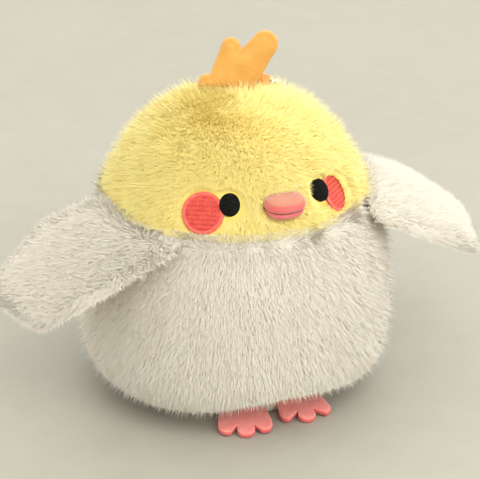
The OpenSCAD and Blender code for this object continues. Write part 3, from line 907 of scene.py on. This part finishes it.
def foot(side):
    """A felt foot, which slopes down from its sewn edge to its toes."""
    (x, y), turn, root_z, reach = FEET[side]
    ahead = np.array([math.sin(turn), -math.cos(turn), 0])
    out = ahead * math.cos(FOOT_SLOPE) - np.array([0, 0, math.sin(FOOT_SLOPE)])
    up = ahead * math.sin(FOOT_SLOPE) + np.array([0, 0, math.cos(FOOT_SLOPE)])
    across = np.array([math.cos(turn), math.sin(turn), 0])

    def place(pts, h):
        return np.array([x, y, root_z]) + pts[:, :1] * across + pts[:, 1:] * out + h[:, None] * up

    loop = contour(lambda p: foot_dist(p, reach), (0, 5), 20, 0.45)
    # the edges take the darker copy of the felt, which is painted shade on the sides
    puffed(f"{side}_foot_felt", loop, 0.6, felt_top, felt_bottom, place, LOOKS["felt"], f"{side}_foot",
           "felt_pink", f"{side}_foot", edge_mat=LOOKS["felt_painted_shade_edge"])


foot("right")
foot("left")

# ---------------------------------------------- beak

EDGE_ROWS = range(8, 13)  # the rows of a beak half on its upright edge


def beak_loop(half_w, reach):
    """A half disc seen from above: its round front, then the two ends of its straight back."""
    a = np.linspace(0, math.pi, 61)
    front = np.stack([half_w * np.sign(np.cos(a)) * np.abs(np.cos(a)) ** 0.8, -reach * np.sin(a) ** 0.65], 1)
    back = np.array([[-half_w, 3.0], [half_w, 3.0]])
    return np.concatenate([front, back])


def bulge(top, bottom, edge_top, edge_bottom, reach):
    """Inset and height over a plump shape: a dome, an upright edge, and a hollow under it."""
    turn = np.linspace(0.04, 1, 9) * math.pi / 2
    inset = (1 - np.sin(turn)) * reach * 0.96
    dome = edge_top + (top - edge_top) * np.cos(turn) ** 0.7
    hollow = edge_bottom + (bottom - edge_bottom) * np.cos(turn)
    fall = edge_bottom - edge_top
    side = [(-0.22 * math.sin(math.pi * k), edge_top + fall * k) for k in (0.25, 0.5, 0.75)]
    return [*zip(inset, dome), *side, *zip(inset[::-1], hollow[::-1])]


def beak_half(name, loop, rows, mat, edge_mat, slot, *stands_for, reach, droop):
    """A plump half disc. Its rows go from the middle of one side over the edge to that of the other."""
    cols = len(loop)
    centre = np.array([0, 0.6])
    verts = []
    for inset, height in rows:
        x, y = (centre + (loop - centre) * (1 - inset / reach)).T
        z = BEAK_Z + height - droop * np.maximum(-y, 0) ** 2
        verts.append(np.column_stack([BEAK_X + x, BEAK_Y + y, z]))
    end = len(rows) * cols
    faces = bands(len(rows), cols) + [tuple(range(cols)), tuple(range(end - 1, end - cols - 1, -1))]
    obj = add_mesh(name, np.concatenate(verts), faces, mat, "bird", slot, *stands_for)
    obj.data.materials.append(edge_mat)
    for face in obj.data.polygons:
        on_edge = len(face.vertices) == 4 and any(v // cols in EDGE_ROWS for v in face.vertices)
        face.material_index = int(on_edge)


upper = bulge(top=3.7, bottom=0.35, edge_top=2.0, edge_bottom=0.25, reach=5.2)
beak_half("upper_beak_plush", beak_loop(half_w=6.0, reach=5.2), upper, LOOKS["beak_upper"], LOOKS["beak_rim"],
          "beak_plush_peach", "upper_beak", reach=5.8, droop=0.018)
lower = bulge(top=-0.35, bottom=-3.1, edge_top=-0.45, edge_bottom=-1.4, reach=4.6)
beak_half("lower_beak_plush", beak_loop(half_w=5.5, reach=4.7), lower, LOOKS["beak_lower"],
          LOOKS["beak_lower"], "beak_plush_pink", "lower_beak", reach=5.3, droop=0.02)

# ---------------------------------------------- embroidery


def stitch_set(name, starts, ends, normals, mat, slot, *stands_for, radius, rise):
    """Each stitch is a soft thread that rises over the cloth between its two needle holes."""
    steps, ring = 6, 6
    verts, faces = [], []
    for p, q, n in zip(starts, ends, normals):
        side = unit(np.cross(unit(q - p), n))
        faces += bands(steps, ring, len(verts), turned_over=True)
        for t in np.arange(steps) / (steps - 1):
            c = p + (q - p) * t + n * rise * math.sin(math.pi * t) ** 0.6
            w = radius * (0.55 + 0.45 * math.sin(math.pi * t) ** 0.4)
            for j in range(ring):
                a = 2 * math.pi * j / ring
                verts.append(c + side * (w * math.cos(a)) + n * (w * 0.8 * math.sin(a)))
    add_mesh(name, verts, faces, mat, "bird", slot, *stands_for)


# A patch is a place on the head with its normal and the ways across and up.


def patch(az_deg, z, depth):
    """A patch that lies that deep under the outline."""
    c, n, ex, ey = face_point(az_deg, z)
    return c - n * depth, n, ex, ey


def tilted(fr, side, angle, r):
    """The patch turned so that its outer edge goes down into the pile; its inner edge stays."""
    c, n, ex, ey = fr
    ex_2 = ex * math.cos(angle) - n * (side * math.sin(angle))
    n_2 = n * math.cos(angle) + ex * (side * math.sin(angle))
    return c - (ex - ex_2) * (side * r), n_2, ex_2, ey


def on_patch(fr, x, y, sink=0.0):
    """A place on a patch, which curves gently with the head under it."""
    c, n, ex, ey = fr
    return c + ex * x + ey * y - n * (sink + (x * x + y * y) * 0.008)


def fill_stitches(fr, a, b, half, pitch, length, slant, seed):
    """Rows of stitches within an oval, each row set on by a third of a stitch."""
    g = np.random.default_rng(seed)
    starts, ends = [], []
    d = np.array([math.cos(slant), math.sin(slant)])
    e = np.array([-d[1], d[0]])
    for k, row in enumerate(np.arange(-half, half, pitch)):
        s = -half - length * (1 + (k % 3) / 3)
        while s < half:
            run = np.linspace(s + g.uniform(-0.1, 0.1), s + length, 9)
            pts = [d * t + e * (row + g.uniform(-0.03, 0.03)) for t in run]
            inside = [p for p in pts if math.hypot(p[0] / a, p[1] / b) < 1]
            if len(inside) > 2:
                starts.append(on_patch(fr, *inside[0]))
                ends.append(on_patch(fr, *inside[-1]))
            s += length
    return starts, ends


def ring_stitches(fr, r_in, r_out, count):
    """Stitches across a round border, each a little slanted."""
    starts, ends = [], []
    for k in range(count):
        t = 2 * math.pi * k / count
        starts.append(on_patch(fr, r_in * math.cos(t), r_in * math.sin(t)))
        ends.append(on_patch(fr, r_out * math.cos(t + 0.03), r_out * math.sin(t + 0.03)))
    return starts, ends


def disc(name, fr, mat, slot, a, b, skirt):
    """The stitched ground under the threads, with its edge turned down."""
    rings, cols = 8, 64
    verts = [on_patch(fr, 0, 0)]
    for i in range(1, rings + 1):
        k = min(i / (rings - 1), 1)
        for j in range(cols):
            t = 2 * math.pi * j / cols
            verts.append(on_patch(fr, a * k * math.cos(t), b * k * math.sin(t), skirt * (i == rings)))
    add_mesh(name, verts, round_sheet(rings, cols), mat, "bird", slot)


for side, s, tilt in (("right", -1, 0.0), ("left", 1, math.radians(7))):
    fr = tilted(patch(s * CHEEK_AZ, CHEEK_Z, CHEEK_DEPTH), s, tilt, CHEEK_R)
    # the cheek's ground is darker than its threads: painted shade in the grooves between the stitch rows
    disc(f"{side}_cheek_ground", fr, LOOKS["coral_painted_shade"], "embroidery_coral", a=6.3, b=6.3, skirt=0.5)
    starts, ends = fill_stitches(fr, a=5.6, b=5.6, half=5.6, pitch=0.56, length=2.4,
                                 slant=math.radians(38), seed=61 + s)
    stitch_set(f"{side}_cheek_threads", starts, ends, [fr[1]] * len(starts), LOOKS["coral"],
               "embroidery_coral", f"{side}_cheek", radius=0.27, rise=0.18)
    starts, ends = ring_stitches(fr, r_in=5.3, r_out=CHEEK_R, count=110)
    stitch_set(f"{side}_cheek_border_threads", starts, ends, [fr[1]] * len(starts), LOOKS["coral_light"],
               "embroidery_coral_light", f"{side}_cheek_border", radius=0.22, rise=0.3)
    fr = patch(s * EYE_AZ, EYE_Z, EYE_DEPTH)
    disc(f"{side}_eye_ground", fr, LOOKS["black"], "embroidery_black", a=EYE_A, b=EYE_B, skirt=2.0)
    starts, ends = fill_stitches(fr, a=EYE_A, b=EYE_B, half=3.6, pitch=0.36, length=9.0,
                                 slant=math.radians(8), seed=71 + s)
    stitch_set(f"{side}_eye_threads", starts, ends, [fr[1]] * len(starts), LOOKS["black"],
               "embroidery_black", f"{side}_eye", radius=0.25, rise=0.35)

# ---------------------------------------------- seams and base


def seam_ring(name, stands_for, normal_of, r, z, count, slant):
    """Slanting stitches all the way round a seam."""
    starts, ends, normals = [], [], []
    for k in range(count):
        t = 2 * math.pi * k / count
        d = np.array([math.cos(t), math.sin(t), 0])
        e = np.array([-math.sin(t), math.cos(t), 0])
        c = np.array([0, 0, z]) + d * r
        starts.append(c - e * slant * 0.5 - d * 0.45)
        ends.append(c + e * slant * 0.5 + d * 0.45)
        normals.append(normal_of(d))
    stitch_set(name, starts, ends, normals, LOOKS["thread"], "sewing_thread", stands_for,
               radius=0.25, rise=0.12)


seam_ring("base_seam_stitches", "base_seam_thread", lambda d: np.array([0, 0, -1.0]),
          r=28.85, z=0.75, count=96, slant=1.5)
seam_ring("neck_seam_stitches", "neck_seam_thread", lambda d: d,
          r=radius_at(NECK) - 3.4, z=NECK, count=120, slant=1.6)

# radius and height of the base panel: flat, then turned up to the seam where the pile starts
BASE_FLAT = [(28.6 * k / 20, 0.08) for k in range(1, 21)]
BASE_EDGE = [(29.4, 0.3), (30.2, 0.9), (30.9, 1.9), (31.5, 3.1), (32.1, 4.3)]


def base_panel():
    """The base panel, with an uneven middle, and its front edge drawn up with the pile."""
    cols = 96
    rows = np.array(BASE_FLAT + BASE_EDGE)
    r = np.concatenate([[0], np.repeat(rows[:, 0], cols)])
    z = np.concatenate([[0.08], np.repeat(rows[:, 1], cols)])
    a = np.concatenate([[0], np.tile(np.linspace(0, 2 * math.pi, cols + 1)[:-1], len(rows))])
    xy = np.stack([r * np.cos(a), r * np.sin(a)], 1)
    z = z + 0.12 * (1 + field(np.column_stack([xy, r * 0]), 14, 9)[0]) * (r < 27)
    pts = np.column_stack([xy, z])
    pts[:, 2] += (tucked(pts)[:, 2] - z) * smooth((r - 29) / 2.6)
    faces = round_sheet(len(rows), cols, turned_over=True)
    add_mesh("base_plush", pts, faces, LOOKS["short_pile"], "bird", "short_pile_cream", "base_panel")


base_panel()

# ---------------------------------------------- ribbon loop and chain


def ribbon_loop():
    """A narrow ribbon folded over the chain, its two ends sewn into the crown together."""
    m = Matrix.Rotation(math.radians(-22), 3, "Z") @ Matrix.Rotation(math.radians(12), 3, "Y")
    across, ahead, up = (np.array(m @ Vector(v)) for v in ((1, 0, 0), (0, 1, 0), (0, 0, 1)))
    a = np.linspace(-0.3 * math.pi, 1.3 * math.pi, 33)
    ring = np.stack([1.9 * np.cos(a), 1.9 * np.sin(a)], 1)
    stem = np.stack([np.full(7, 0.32), np.linspace(-2.2, -6.0, 7)], 1)
    path = np.concatenate([stem[::-1], ring, stem * (-1, 1)])
    way = unit(np.gradient(path, axis=0))
    outward = np.stack([way[:, 1], -way[:, 0]], 1)
    width, half_thick, cols = 3.2, 0.27, 9
    verts, faces = [], []
    for face in (1, -1):
        for p, q in zip(path, outward):
            for c in range(cols):
                x = (c / (cols - 1) - 0.5) * width
                edge = half_thick * math.sqrt(max(0, 1 - abs(2 * c / (cols - 1) - 1) ** 6))
                y, z = p + q * face * edge
                verts.append(LOOP_AT + across * x + ahead * y + up * z)
    half = len(path) * cols
    for i in range(len(path) - 1):
        for c in range(cols - 1):
            at = i * cols + c
            faces.append((at, at + 1, at + 1 + cols, at + cols))
            faces.append((half + at, half + at + cols, half + at + 1 + cols, half + at + 1))
    add_mesh("hanging_ribbon", verts, faces, LOOKS["ribbon"], "bird", "ribbon_orange", "hanging_loop")


ribbon_loop()

for name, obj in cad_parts.items():
    if name.startswith("chain_"):
        obj.data.materials.clear()
        obj.data.materials.append(LOOKS["metal"])

# ---------------------------------------------- floor and light


def area_light(name, at, target, size, power, colour):
    data = bpy.data.lights.new(name, "AREA")
    data.shape, data.size, data.energy, data.color = "DISK", size, power, colour
    obj = bpy.data.objects.new(name, data)
    obj.location = at
    obj.rotation_euler = (Vector(target) - Vector(at)).to_track_quat("-Z", "Y").to_euler()
    scene.collection.objects.link(obj)


def floor():
    me = bpy.data.meshes.new("floor")
    me.from_pydata([(-3, -3, 0), (3, -3, 0), (3, 3, 0), (-3, 3, 0)], [], [(0, 1, 2, 3)])
    obj = bpy.data.objects.new("floor", me)
    scene.collection.objects.link(obj)
    me.materials.append(cloth_material("floor", lin(157, 154, 142), lin(162, 160, 149), patch=8.0, grain=60.0,
                                       bump=0.0, rough=0.55, sheen=0.0))


floor()
area_light("window", (0.75, 0.35, 0.85), (0, 0, 0.05), 0.7, 0.7, (1.0, 1.0, 0.97))
area_light("front", (0.1, -0.9, 0.9), (0, 0, 0.05), 1.0, 11.2, (1.0, 0.985, 0.94))
world = bpy.data.worlds.new("studio")
world.use_nodes = True
world.node_tree.nodes["Background"].inputs["Color"].default_value = (1.0, 0.98, 0.91, 1)
world.node_tree.nodes["Background"].inputs["Strength"].default_value = 1.5
scene.world = world
scene.view_settings.view_transform = "Standard"
